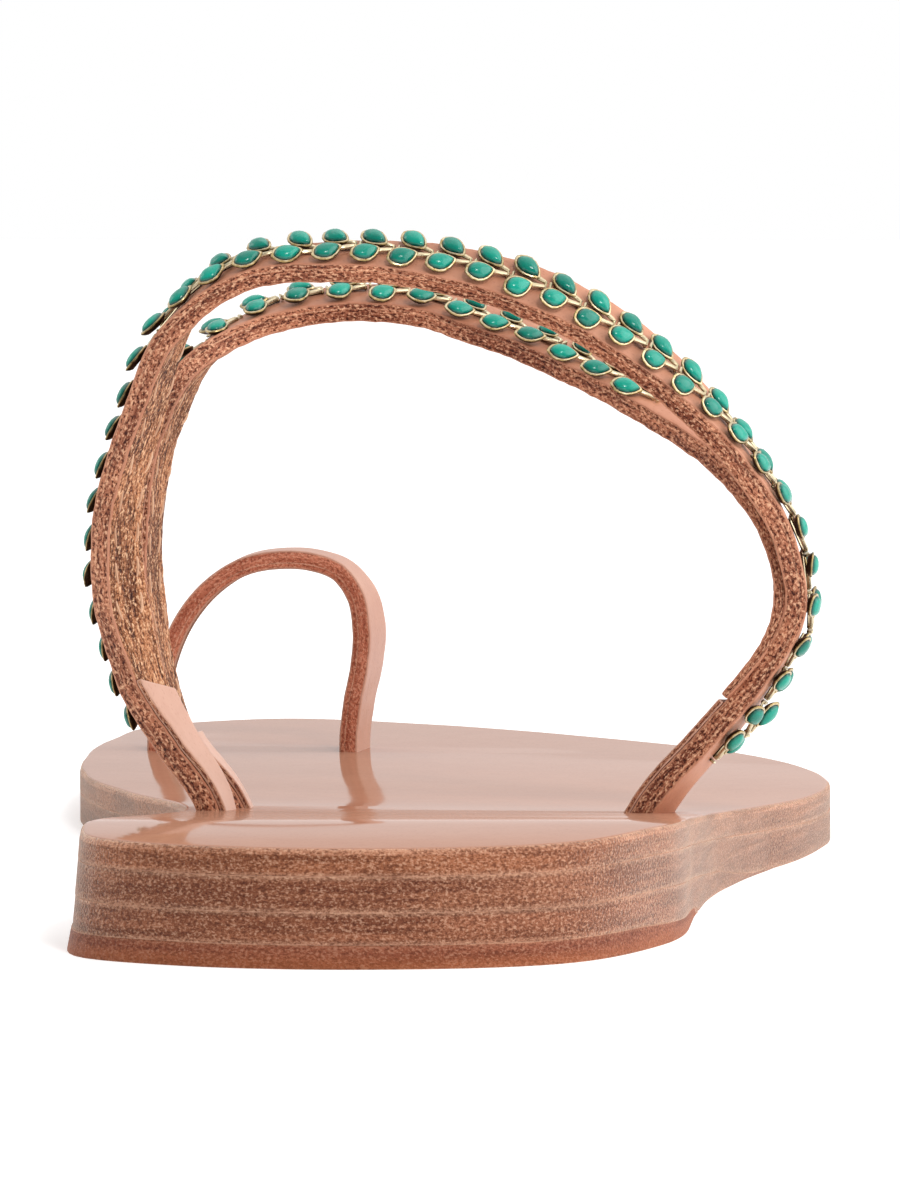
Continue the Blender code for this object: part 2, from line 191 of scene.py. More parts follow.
def pick(piece, kind, test):  # selects what passes the test and leaves edit mode on
    bpy.ops.object.mode_set(mode="EDIT")
    bpy.ops.mesh.select_mode(type=kind)
    bpy.ops.mesh.select_all(action="DESELECT")
    bpy.ops.object.mode_set(mode="OBJECT")
    parts = {"EDGE": piece.data.edges, "FACE": piece.data.polygons}[kind]
    for part in parts:
        part.select = bool(test(part))
    bpy.ops.object.mode_set(mode="EDIT")


def cutAt(place, normal, **options):
    bpy.ops.mesh.select_all(action="SELECT")
    bpy.ops.mesh.bisect(plane_co=place, plane_no=normal, **options)


def modify(piece, kind, **settings):
    bpy.context.view_layer.objects.active = piece
    added = piece.modifiers.new(kind.title(), kind)
    for key, value in settings.items():
        setattr(added, key, value)
    bpy.ops.object.modifier_apply(modifier=added.name)


def smoothShade(piece, degrees=40):
    deselectAll()
    piece.select_set(True)
    bpy.context.view_layer.objects.active = piece
    bpy.ops.object.shade_smooth_by_angle(angle=math.radians(degrees))


def dressPiece(piece, finishList):
    piece.data.materials.clear()
    for finish in finishList:
        piece.data.materials.append(finish)


def place(piece, slot, *nodes):
    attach(piece, "root")
    if nodes:
        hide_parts(*nodes)
    print("made", piece.name, len(piece.data.polygons), "faces")


# Shader maths
class Flow:
    def __init__(self, tree, socket=None):
        self.tree = tree
        self.socket = socket

    def node(self, kind, settings=None, sockets=None, out=0):
        made = self.tree.nodes.new("ShaderNode" + kind)
        for key, value in (settings or {}).items():
            setattr(made, key, value)
        for key, value in (sockets or {}).items():
            if isinstance(value, Flow):
                self.tree.links.new(value.socket, made.inputs[key])
            else:
                made.inputs[key].default_value = value
        return Flow(self.tree, made.outputs[out])

    def maths(self, operation, first, second):
        return self.node("Math", {"operation": operation}, {0: first, 1: second})

    def __add__(self, other):
        return self.maths("ADD", self, other)

    def __radd__(self, other):
        return self.maths("ADD", other, self)

    def __sub__(self, other):
        return self.maths("SUBTRACT", self, other)

    def __rsub__(self, other):
        return self.maths("SUBTRACT", other, self)

    def __mul__(self, other):
        return self.maths("MULTIPLY", self, other)

    def between(self, low, high):  # 0 below low, 1 above high
        return self.node("MapRange", None, {0: self, 1: low, 2: high})


def startFinish(name):
    made = bpy.data.materials.new(name)
    made.use_nodes = True
    return made, Flow(made.node_tree)


def endFinish(made, sockets):
    shader = made.node_tree.nodes["Principled BSDF"]
    for key, value in sockets.items():
        if isinstance(value, Flow):
            made.node_tree.links.new(value.socket, shader.inputs[key])
        else:
            shader.inputs[key].default_value = value
    return made


def blend(flow, share, first, second, mode="MIX"):
    return flow.node("Mix", {"data_type": "RGBA", "blend_type": mode}, {0: share, 6: first, 7: second}, 2)


def noise(flow, where, size, detail=2.0, rough=0.5):  # size of the grains in millimetres
    return flow.node(
        "TexNoise", None, {"Vector": where, "Scale": 1 / (size * mm), "Detail": detail, "Roughness": rough}
    )


def stretched(flow, where, scale):
    return flow.node("VectorMath", {"operation": "MULTIPLY"}, {0: where, 1: scale})


def bump(flow, height, depth):  # depth in millimetres
    return flow.node("Bump", None, {"Strength": 1.0, "Distance": depth * mm, "Height": height})


def rgb(red, green, blue):
    return (red, green, blue, 1.0)


# Finishes
def smoothHide(name, look):  # grain side: a soft cloud of tone, fine pores, a low polish
    made, flow = startFinish(name)
    where = flow.node("TexCoord", None, None, "Object")
    cloud = noise(flow, where, look["cloud"], 3)
    mottle = noise(flow, where, look["mottle"], 4, 0.6)
    pores = flow.node("TexVoronoi", None, {"Vector": where, "Scale": 1 / (look["pore"] * mm)})
    grain = noise(flow, where, look["grain"], 3)
    share = (cloud * 0.6 + mottle * 0.4).between(0.35, 0.65)
    colour = blend(flow, share, look["deep"], look["pale"])
    pits = pores.between(0.0, 0.35)
    colour = blend(flow, (1 - pits) * look["pits"], colour, look["deep"], "MULTIPLY")
    relief = bump(flow, grain * 0.6 + pits * 0.4 + mottle * 0.8, look["relief"])
    rough = look["rough"] + (mottle - 0.5) * 0.12
    return endFinish(made, {
        "Base Color": colour, "Roughness": rough, "Normal": relief, "Specular IOR Level": look["gloss"],
        "Coat Weight": look["coat"], "Coat Roughness": look["polish"],
    })


def rawEdge(name, look):  # a sanded cut: speckled fibres in lines along the layer
    made, flow = startFinish(name)
    where = flow.node("TexCoord", None, None, "Object")
    depth = flow.node("Attribute", {"attribute_name": "depth"}, None, "Fac")  # from -1 to 1 in the thickness
    if look["strip"]:
        along = flow.node("SeparateXYZ", None, {0: flow.node("UVMap", {"uv_map": "UVMap"})}, "X")
        inward = depth * look["strip"] * mm
        course = flow.node("CombineXYZ", None, {0: along * look["course"], 1: inward})
        dashes = flow.node("CombineXYZ", None, {0: along * look["dash"], 1: inward})
        fromPly = flow.node("Math", {"operation": "ABSOLUTE"}, {0: depth - look["ply"]})
        ply = (1 - fromPly * look["plyFine"]).between(0, 1)
    else:
        course = stretched(flow, where, (look["course"], look["course"], 1))
        dashes = stretched(flow, where, (look["dash"], look["dash"], 1))
        ply = 0.0
    streak = noise(flow, course, look["streak"], 3, 0.6)
    speck = noise(flow, dashes, look["grain"], 2, 0.7)
    fleck = noise(flow, where, look["grain"] * 1.4, 2, 0.6)
    cloud = noise(flow, where, look["cloud"], 2)
    tone = streak * 0.62 + fleck * 0.18 + cloud * 0.2
    colour = blend(flow, tone.between(0.43, 0.57), look["deep"], look["pale"])
    # pale lines along both faces of a cut and along the ply: partly the paler grain layer and ply line,
    # partly painted highlight where corners and fuzz catch light
    rim = ((depth * depth).between(0.45, 0.95) + ply) * (0.5 + streak)
    colour = blend(flow, rim * look["border"], colour, look["fleck"])
    dark = (1 - speck).between(0.5, 0.62)
    colour = blend(flow, dark * look["speck"], colour, look["dust"], "MULTIPLY")
    bright = (speck * 0.65 + fleck * 0.35).between(0.52, 0.62)
    colour = blend(flow, bright * look["spark"], colour, look["fleck"])
    # painted glow: near the floor the edge is blended towards a lighter orange, standing in for light from
    # the floor
    if look["paintedGlow"]:
        low, high = look["paintedGlowRise"]
        above = flow.node("SeparateXYZ", None, {0: where}, "Z").between(low * mm, high * mm)
        colour = blend(flow, (1 - above) * look["paintedGlow"], colour, look["paintedGlowTone"])
    relief = bump(flow, speck * 0.9 + fleck * 0.7 + streak * 1.2, look["relief"])
    return endFinish(made, {
        "Base Color": colour, "Roughness": look["rough"] + (fleck - 0.5) * 0.3, "Normal": relief,
        "Sheen Weight": look["sheen"], "Sheen Roughness": 0.35, "Sheen Tint": look["sheenTint"],
        "Specular IOR Level": look["shine"],
    })


def napHide(name, look):  # flesh side: a short nap with streaks along the strip
    made, flow = startFinish(name)
    where = flow.node("TexCoord", None, None, "Object")
    along = flow.node("UVMap", {"uv_map": "UVMap"})
    streak = noise(flow, stretched(flow, along, (0.1, 1, 1)), look["streak"], 4, 0.65)
    hair = noise(flow, stretched(flow, along, (0.35, 1, 1)), look["hair"], 2, 0.6)
    nap = noise(flow, where, look["nap"], 2, 0.7)
    patch = noise(flow, where, look["patch"], 3)
    tone = streak * 0.6 + patch * 0.3 + nap * 0.1
    colour = blend(flow, tone.between(0.44, 0.56), look["deep"], look["pale"])
    fissure = noise(flow, stretched(flow, along, (0.16, 1, 1)), look["fissure"], 3, 0.6)
    crack = (1 - fissure).between(0.57, 0.65)  # dark lines between the fibres
    dark = (1 - nap * 0.6 - hair * 0.4).between(0.5, 0.6)
    colour = blend(flow, dark * look["speck"], colour, look["dust"], "MULTIPLY")
    colour = blend(flow, crack * look["crack"], colour, look["dust"], "MULTIPLY")
    bright = (nap * 0.5 + hair * 0.5).between(0.53, 0.61)
    colour = blend(flow, bright * look["spark"], colour, look["fleck"])
    relief = bump(flow, nap * 0.9 + hair * 0.8 + streak * 1.8, look["relief"])
    return endFinish(made, {
        "Base Color": colour, "Roughness": look["rough"], "Normal": relief,
        "Sheen Weight": look["sheen"], "Sheen Roughness": 0.5, "Specular IOR Level": 0.2,
    })


def goldFinish(name, look):  # near-black at the foot for tarnish and painted shade, yellow on the walls, pale on rims and stems
    made, flow = startFinish(name)
    where = flow.node("TexCoord", None, None, "Object")
    rise = flow.node("Attribute", {"attribute_name": "rise"}, None, "Fac")
    wear = noise(flow, where, look["wear"], 3)
    height = rise + (wear - 0.5) * 0.2
    # painted shade: low on every part the gold turns near-black, partly tarnish and partly shade in the
    # recesses
    colour = blend(flow, height.between(0.35, 0.47), look["tarnishAndShade"], look["gold"])
    colour = blend(flow, height.between(0.48, 0.53), colour, look["rim"])
    return endFinish(made, {
        "Base Color": colour, "Metallic": look["metal"], "Roughness": look["rough"] + (wear - 0.5) * 0.2,
        "Normal": bump(flow, wear, look["relief"]),
    })


def enamelFinish(name, look):
    made, flow = startFinish(name)
    where = flow.node("TexCoord", None, None, "Object")
    rise = flow.node("Attribute", {"attribute_name": "rise"}, None, "Fac")
    tone = flow.node("Attribute", {"attribute_name": "tone"}, None, "Fac")
    swirl = noise(flow, where, look["swirl"], 2)
    body = blend(flow, (tone * 0.6 + swirl * 0.4).between(0.2, 0.8), look["deep"], look["pale"])
    # painted shade: the enamel blends to near-black towards its bezel
    colour = blend(flow, rise.between(0.53, 0.8), look["enamelEdgeShade"], body)
    return endFinish(made, {
        "Base Color": colour, "Roughness": look["rough"] + swirl * 0.1,
        "Normal": bump(flow, swirl, look["relief"]), "Specular IOR Level": look["gloss"],
    })


def threadFinish(name, look):
    made, flow = startFinish(name)
    where = flow.node("TexCoord", None, None, "Object")
    tone = flow.node("Attribute", {"attribute_name": "tone"}, None, "Fac")
    twist = noise(flow, where, look["twist"], 2)
    colour = blend(flow, (tone * 0.6 + twist * 0.4).between(0.2, 0.8), look["deep"], look["pale"])
    return endFinish(made, {
        "Base Color": colour, "Roughness": look["rough"], "Normal": bump(flow, twist, look["relief"]),
        "Sheen Weight": look["sheen"],
    })


# Looks: colours, shares of the effects, and sizes of grains and depths of relief in millimetres
hideLook = {
    "deep": rgb(0.44, 0.21, 0.135), "pale": rgb(0.53, 0.275, 0.19), "pits": 0.25,
    "cloud": 24.0, "mottle": 2.6, "grain": 0.5, "pore": 0.55, "relief": 0.03,
    "rough": 0.3, "gloss": 0.3, "coat": 0.0, "polish": 0.08,
}
edgeLook = {
    "deep": rgb(0.19, 0.06, 0.026), "pale": rgb(0.31, 0.112, 0.053), "dust": rgb(0.28, 0.18, 0.14),
    # border: share of the pale lines along a cut's faces, partly painted highlight
    "fleck": rgb(0.68, 0.43, 0.29), "speck": 0.7, "spark": 0.38, "border": 0.26,
    "cloud": 12.0, "streak": 1.0, "grain": 0.23, "relief": 0.18,
    "course": 0.06, "dash": 0.6,  # how far streaks and specks are drawn out along the layer
    "strip": 0.0,  # half the thickness of a strip, or none for a layer of the sole
    "ply": 0.35, "plyFine": 9.0,  # where the pale line between two plies of a strip lies, and how thin it is
    "paintedGlow": 0.0, "paintedGlowRise": (0.4, 1.6), "paintedGlowTone": rgb(0.44, 0.135, 0.045),  # painted glow: a lighter orange band along the floor
    "rough": 0.56, "shine": 0.14, "sheen": 0.55, "sheenTint": rgb(1.0, 0.88, 0.76),
}
stripLook = {**edgeLook, "strip": 1.2, "course": 0.1, "sheen": 0.05, "shine": 0.25, "border": 0.4}
napLook = {
    "deep": rgb(0.2, 0.066, 0.025), "pale": rgb(0.54, 0.236, 0.108), "dust": rgb(0.2, 0.09, 0.055),
    "fleck": rgb(0.9, 0.59, 0.36), "speck": 1.0, "crack": 0.8, "spark": 0.85,
    "patch": 6.0, "streak": 1.2, "fissure": 0.7, "hair": 0.4, "nap": 0.36, "relief": 0.32,
    "rough": 0.9, "sheen": 0.1,
}
footbedGrain = smoothHide("footbed_grain", {
    **hideLook, "deep": rgb(0.37, 0.175, 0.11), "pale": rgb(0.4, 0.197, 0.126), "gloss": 0.0, "coat": 0.5,
    "relief": 0.012,
})
strapGrain = smoothHide("strap_grain", {
    **hideLook, "deep": rgb(0.41, 0.16, 0.087), "pale": rgb(0.56, 0.26, 0.16), "rough": 0.5, "relief": 0.06,
})
ringGrain = smoothHide("ring_grain", {
    **hideLook, "deep": rgb(0.42, 0.205, 0.14), "pale": rgb(0.52, 0.29, 0.21), "rough": 0.42, "relief": 0.05,
})
tabGrain = smoothHide("tab_grain", {
    **hideLook, "rough": 0.42, "deep": rgb(0.52, 0.285, 0.2), "pale": rgb(0.62, 0.375, 0.285),
})
soleGrain = smoothHide("sole_bottom", {**hideLook, "rough": 0.5, "deep": rgb(0.42, 0.2, 0.12)})
seamEdge = rawEdge("seam_edge", {**edgeLook, "deep": rgb(0.27, 0.1, 0.05), "pale": rgb(0.45, 0.2, 0.115)})
insoleEdge = rawEdge("insole_edge", edgeLook)
outsoleEdge = rawEdge("outsole_edge", {
    **edgeLook, "deep": rgb(0.165, 0.05, 0.023), "pale": rgb(0.27, 0.1, 0.05),
})
wedgeEdge = rawEdge("wedge_edge", {**edgeLook, "deep": rgb(0.16, 0.048, 0.022), "pale": rgb(0.28, 0.1, 0.05)})
liftEdge = rawEdge("lift_edge", {
    **edgeLook, "deep": rgb(0.19, 0.05, 0.024), "pale": rgb(0.27, 0.084, 0.042), "spark": 0.2, "speck": 0.6,
    # the lift gets the painted glow along the floor
    "sheen": 0.05, "border": 0.1, "paintedGlow": 0.3,
})
strapEdge = rawEdge("strap_edge", {
    **stripLook, "deep": rgb(0.21, 0.056, 0.026), "pale": rgb(0.53, 0.205, 0.11), "speck": 1.0, "spark": 0.8,
    "dust": rgb(0.17, 0.08, 0.055), "fleck": rgb(0.84, 0.5, 0.31), "relief": 0.2, "grain": 0.31,
})
ringEdge = rawEdge("ring_edge", {
    **stripLook, "deep": rgb(0.37, 0.095, 0.047), "pale": rgb(0.56, 0.19, 0.108), "speck": 0.6, "spark": 0.35,
    "grain": 0.27,
})
strapNap = napHide("strap_nap", napLook)
leafGold = goldFinish("leaf_gold", {
    # the near-black foot colour is part tarnish, part painted shade
    "rim": rgb(0.58, 0.48, 0.31), "gold": rgb(0.36, 0.25, 0.1), "tarnishAndShade": rgb(0.02, 0.012, 0.006),
    "wear": 0.6, "relief": 0.03, "metal": 0.85, "rough": 0.3,
})
leafEnamel = enamelFinish("leaf_enamel", {
    # the near-black border colour is painted shade at the enamel's edge
    "deep": rgb(0.0, 0.17, 0.12), "pale": rgb(0.003, 0.31, 0.22), "enamelEdgeShade": rgb(0.0, 0.022, 0.016),
    "swirl": 1.2, "relief": 0.08, "rough": 0.16, "gloss": 0.4,
})
stitchThread = threadFinish("stitch_thread", {
    "deep": rgb(0.48, 0.25, 0.14), "pale": rgb(0.7, 0.43, 0.27), "twist": 0.25, "relief": 0.05, "rough": 0.7,
    "sheen": 0.2,
})
print("finishes ready")

# Sole
soleForm = {
    "points": 240,  # round the outline
    "station": 4.0,  # between the cuts that let a layer bend
    "seam": 0.005,  # left open between two layers
    "insole": 2.8,
    "outsole": 3.6,
    "lift": 2.4,
    "liftFront": 0.6,
    "liftLength": 60.0,
    "wedgeLength": 110.0,
    "skive": 26.0,  # run in which the wedge thins out to its front
    "wedgeFront": 0.1,  # thickness left there
    "toeSpring": 210.0,
    "topRound": 0.7,
    "layerRound": 0.06,
    "wander": 0.1,  # how far the sanding strays from the outline
    "waves": ((1.0, 9, 1.0), (0.7, 23, 2.3), (0.5, 41, -1.0)),  # of that straying
    "step": 0.1,  # half the run of a sudden change in height
    "stepCuts": (0.06, 0.14),  # where the wedge is cut to step down in front of the lift
    "liftFlare": 0.25,  # how far the lift spreads to the floor
    "flareMiddle": (0.0, 30.0),
    "innerLean": 1.1,  # how far the heel's inner side leans inwards from floor to top
    "leanSide": 25.0,  # from the middle line to where it leans fully
    "leanFront": 80.0,  # where the lean has run out
    "leanRun": 60.0,
    "slotHeight": 9.0,
    "topFrom": 0.75,  # rise of the normal from which a face is top, bottom or rounded border
    "bottomFrom": 0.9,
    "borderFrom": 0.25,
}


def undersideAt(y):
    parallel = footbedAt(y) - soleForm["insole"] - soleForm["outsole"]
    down = np.clip((soleForm["wedgeLength"] - y) / soleForm["skive"], 0, 1)
    flat = np.where(y > soleForm["wedgeLength"] + soleForm["step"], 0.0, soleForm["wedgeFront"])
    return np.where(y > soleForm["toeSpring"], parallel, np.maximum(parallel * down, flat))


def liftTopAt(y):
    flat = soleForm["liftLength"] / 3
    share = np.clip((y - flat) / (soleForm["liftLength"] - flat), 0, 1)
    return soleForm["lift"] + (soleForm["liftFront"] - soleForm["lift"]) * share


def wedgeLowAt(y):
    inStep = y < soleForm["liftLength"] + soleForm["step"]
    return np.where(inStep, liftTopAt(y) + soleForm["seam"], 0.0)


def soleLayer(name, lowAt, highAt, phase, length=None, stops=(), topRound=None, flare=0.0):
    rim = outlinePoints(soleForm["points"])
    tangent = unitRows(np.roll(rim, -1, 0) - np.roll(rim, 1, 0))
    outward = np.column_stack([tangent[:, 1], -tangent[:, 0]])
    turn = np.linspace(0, 2 * np.pi, len(rim), endpoint=False)
    stray = waves(soleForm["waves"], turn, phase)
    rim = rim + outward * stray[:, None] * soleForm["wander"] / 2
    deselectAll()
    bpy.ops.mesh.primitive_circle_add(vertices=len(rim), radius=0.1, fill_type="NGON")
    layer = bpy.context.object
    layer.name = name
    setPoints(layer, np.column_stack([rim * mm, np.zeros(len(rim))]))
    bpy.ops.object.mode_set(mode="EDIT")
    bpy.ops.mesh.select_all(action="SELECT")
    bpy.ops.mesh.extrude_region_move(TRANSFORM_OT_translate={"value": (0, 0, soleForm["insole"] * mm)})
    if length:
        cutAt((0, length * mm, 0), (0, 1, 0), clear_outer=True, use_fill=True)
    top = soleForm["insole"] * mm - tiny
    for high, width in ((True, topRound or soleForm["layerRound"]), (False, soleForm["layerRound"])):
        pick(layer, "EDGE", lambda edge: all(
            layer.data.vertices[v].co.z > top if high else layer.data.vertices[v].co.z < tiny
            for v in edge.vertices))
        bpy.ops.mesh.bevel(offset=width * mm, segments=3 if topRound and high else 2, affect="EDGES")
    end = length or max(y for _, y in soleOutline)
    for y in sorted([*np.arange(soleForm["station"] / 2, end - 1, soleForm["station"]), *stops]):
        cutAt((0, y * mm, 0), (0, 1, 0))
    bpy.ops.mesh.select_all(action="SELECT")
    bpy.ops.mesh.normals_make_consistent(inside=False)
    bpy.ops.object.mode_set(mode="OBJECT")
    points = getPoints(layer) / mm
    share = points[:, 2] / soleForm["insole"]
    points[:, :2] += unitRows(points[:, :2] - soleForm["flareMiddle"]) * ((1 - share) * flare)[:, None]
    points[:, 2] = lowAt(points[:, 1]) + (highAt(points[:, 1]) - lowAt(points[:, 1])) * share
    inner = np.clip(-points[:, 0] / soleForm["leanSide"], 0, 1)
    atHeel = np.clip((soleForm["leanFront"] - points[:, 1]) / soleForm["leanRun"], 0, 1)
    points[:, 0] += soleForm["innerLean"] * (inner * atHeel) * points[:, 2] / footbedProfile[0][1]
    setPoints(layer, points * mm + heelOrigin)
    depth = layer.data.attributes.new("depth", "FLOAT", "POINT")
    depth.data.foreach_set("value", (2 * share - 1).astype(np.float32))
    return layer


def paintLayer(layer, topFinish, edgeFinish):
    dressPiece(layer, [edgeFinish, topFinish, soleGrain, seamEdge])
    for face in layer.data.polygons:
        rise = face.normal.z
        if rise > soleForm["topFrom"]:
            face.material_index = 1
        elif rise < -soleForm["bottomFrom"]:
            face.material_index = 2
        elif abs(rise) > soleForm["borderFrom"]:
            face.material_index = 3
        else:
            face.material_index = 0
    smoothShade(layer)


def cutSlot(layer, strip, share, low, high, play):
    middle, along, across, outward = (v[0] for v in strip.sections([share]))
    deselectAll()
    bpy.ops.mesh.primitive_cube_add(size=1.0)
    cutter = bpy.context.object
    sides = np.array([strip.width + 2 * play, high - low + 2 * play, soleForm["slotHeight"]])
    axes = np.array([across, -outward, along])
    centre = middle + outward * (low + high) / 2
    setPoints(cutter, ((getPoints(cutter) * sides) @ axes + centre) * mm + heelOrigin)
    modify(layer, "BOOLEAN", operation="DIFFERENCE", object=cutter)
    bpy.data.objects.remove(cutter)


# Straps
strapForm = {
    "width": 6.8,
    "thick": 2.4,
    "ringWidth": 8.0,
    "ringThick": 2.3,
    "tabWidth": 6.4,
    "tabThick": 0.7,
    "steps": 220,
    "cuts": 10,
    "edgeRound": 0.2,
    "cup": 0.1,  # the sewn middle stands out from the edges
    "stray": 0.12,  # of the cut edges
    "waves": ((1.0, 0.61, 3.0), (0.8, 1.37, -2.0), (0.6, 2.9, 0.0)),  # of that straying
    "fuzz": 0.035,  # of an instep strap's flesh side along its edges
    "trim": 1.6,  # less width of an instep strap at its toe side
    "trimAt": 0.42,  # where that is, and over what run, in shares of the length
    "trimRun": 0.15,
    "endSkive": (0.8, 0.36),  # share of the front strap where it starts to thin, and what is left
    "tabGap": 0.04,
    "tabSteps": 40,
    "ringSteps": 120,
    "slotPlay": 0.2,
}
# Creases of a strap: share of its length, depth, half width along, slant
rearCreases = (
    (0.13, 0.2, 0.016, 0.010), (0.275, 0.16, 0.022, -0.012), (0.33, -0.12, 0.018, 0.008),
    (0.66, 0.12, 0.02, 0.014), (0.79, 0.16, 0.02, -0.01), (0.885, 0.16, 0.014, 0.006),
)
frontCreases = (
    (0.16, 0.16, 0.02, 0.01), (0.3, 0.2, 0.02, -0.014), (0.36, -0.12, 0.016, 0.0), (0.58, 0.12, 0.024, 0.01),
)
rearStrap = Strip(rearRows, strapForm["width"], strapForm["thick"], rearCreases, strapForm["cup"])
frontStrap = Strip(frontRows, strapForm["width"], strapForm["thick"], frontCreases, strapForm["cup"])
toeRing = Strip(ringRows, strapForm["ringWidth"], strapForm["ringThick"])


def layStrip(
    name, finishList, strip, reach, width, thick, height=0.0, slant=0.0, skive=None, steps=None, rim=0,
    instep=False,
):
    deselectAll()
    steps = steps or strapForm["steps"]
    bpy.ops.mesh.primitive_grid_add(x_subdivisions=steps, y_subdivisions=strapForm["cuts"], size=1.0)
    piece = bpy.context.object
    piece.name = name
    dressPiece(piece, finishList)
    grid = getPoints(piece)
    side = grid[:, 1] * 2
    shares = reach[0] + (grid[:, 0] + 0.5) * (reach[1] - slant * side - reach[0])
    run = shares * strip.length
    stray = waves(strapForm["waves"], run, side)
    sideways = grid[:, 1] * width + side * np.abs(side) ** 3 * stray * strapForm["stray"] / 2
    fuzz = 0.0
    if instep:
        fuzz = strapForm["fuzz"]
        trimShare = bell(shares, strapForm["trimAt"], strapForm["trimRun"])
        sideways -= strapForm["trim"] * np.clip(side, 0, 1) * trimShare
    setPoints(piece, strip.spots(shares, sideways, np.full(len(run), height)) * mm + heelOrigin)
    uv = piece.data.uv_layers[0]
    flat = np.zeros(len(uv.data) * 2)
    uv.data.foreach_get("uv", flat)
    size = np.array([(reach[1] - reach[0]) * strip.length, width]) * mm
    uv.data.foreach_set("uv", (flat.reshape(-1, 2) * size).ravel())
    solid = {"thickness": thick * mm, "offset": 0.0, "use_even_offset": True}
    if skive:
        group = piece.vertex_groups.new(name="skive")
        share = np.clip((shares - skive[0]) / (1 - skive[0]), 0, 1)
        for i, weight in enumerate(1 - share * (1 - skive[1])):
            group.add([i], weight, "REPLACE")
        solid["vertex_group"] = "skive"
    modify(piece, "SOLIDIFY", material_offset=2, material_offset_rim=1, **solid)
    depth = np.repeat([1.0, -1.0], len(grid))
    piece.data.attributes.new("depth", "FLOAT", "POINT").data.foreach_set("value", depth)
    points = getPoints(piece)
    inner = slice(len(grid), None)
    away = unitRows(points[inner] - points[:len(grid)])
    stand = np.random.default_rng(len(grid)).normal(0, fuzz, len(grid)) * np.abs(side) ** 6
    points[inner] += away * stand[:, None] * mm
    setPoints(piece, points)
    modify(
        piece, "BEVEL", width=min(strapForm["edgeRound"], thick / 4) * mm, segments=2, limit_method="ANGLE",
        angle_limit=math.radians(50), material=rim,
    )
    smoothShade(piece)
    return piece


leatherFaces = [strapGrain, strapEdge, strapNap]
whole = (0, 1)
rearPiece = layStrip(
    "rear_strap", leatherFaces, rearStrap, whole, rearStrap.width, rearStrap.thick, instep=True
)
place(rearPiece, "strap_leather", "instep_straps")
frontPiece = layStrip(
    "front_strap", leatherFaces, frontStrap, whole, frontStrap.width, frontStrap.thick,
    skive=strapForm["endSkive"], instep=True,
)
place(frontPiece, "strap_leather", "instep_straps")
ringFaces = [strapNap, ringEdge, ringGrain]  # its table runs so that the inner face comes first
ringPiece = layStrip(
    "toe_ring_strip", ringFaces, toeRing, whole, toeRing.width, toeRing.thick, steps=strapForm["ringSteps"],
    rim=2,
)
place(ringPiece, "strap_leather", "toe_ring")

tabHeight = -(strapForm["thick"] / 2 + strapForm["tabGap"] + strapForm["tabThick"] / 2)
tabReach = {  # strip, reach along it, slant of the end
    "anchor_tab_inner_rear": (rearStrap, (0, 0.094), 0.0108),
    "anchor_tab_inner_front": (frontStrap, (0, 0.074), 0.004),
    "anchor_tab_outer": (rearStrap, (0.905, 1), 0.0),
}
for tabNode, (strip, reach, slant) in tabReach.items():
    tab = layStrip(
        tabNode.replace("anchor_", "") + "_strip", [tabGrain, strapEdge, tabGrain], strip, reach,
        strapForm["tabWidth"], strapForm["tabThick"], tabHeight, slant, steps=strapForm["tabSteps"],
    )
    place(tab, "tab_leather", tabNode)

# Sole layers, top to bottom
seam = soleForm["seam"]
insole = soleLayer(
    "insole_layer", lambda y: footbedAt(y) - soleForm["insole"], footbedAt, phase=0.4,
    topRound=soleForm["topRound"],
)
slotLow = tabHeight - strapForm["tabThick"] / 2
strapHalf = strapForm["thick"] / 2
ringHalf = strapForm["ringThick"] / 2
for strip, share, low, high in (
    (rearStrap, 0.0, slotLow, strapHalf),
    (frontStrap, 0.0, slotLow, strapHalf),
    (rearStrap, 1.0, slotLow, strapHalf),
    (toeRing, 0.0, -ringHalf, ringHalf),
    (toeRing, 1.0, -ringHalf, ringHalf),
):
    cutSlot(insole, strip, share, low, high, strapForm["slotPlay"])
paintLayer(insole, footbedGrain, insoleEdge)
place(insole, "footbed_leather", "insole")

outsole = soleLayer(
    "outsole_layer", undersideAt, lambda y: footbedAt(y) - soleForm["insole"] - seam, phase=1.9,
    stops=(
        soleForm["wedgeLength"], soleForm["wedgeLength"] + 2 * soleForm["step"], soleForm["toeSpring"],
    ),
)
paintLayer(outsole, soleGrain, outsoleEdge)
place(outsole, "sole_leather", "outsole")

wedge = soleLayer(
    "heel_wedge_layer", wedgeLowAt, lambda y: undersideAt(y) - seam, phase=3.1,
    length=soleForm["wedgeLength"], stops=[soleForm["liftLength"] + cut for cut in soleForm["stepCuts"]],
)
paintLayer(wedge, soleGrain, wedgeEdge)
place(wedge, "sole_leather", "heel_wedge")

heelLift = soleLayer(
    "heel_lift_layer", lambda y: np.zeros(len(y)), liftTopAt, phase=4.4, length=soleForm["liftLength"],
    flare=soleForm["liftFlare"],
)
paintLayer(heelLift, soleGrain, liftEdge)
place(heelLift, "lift_leather", "heel_lift")

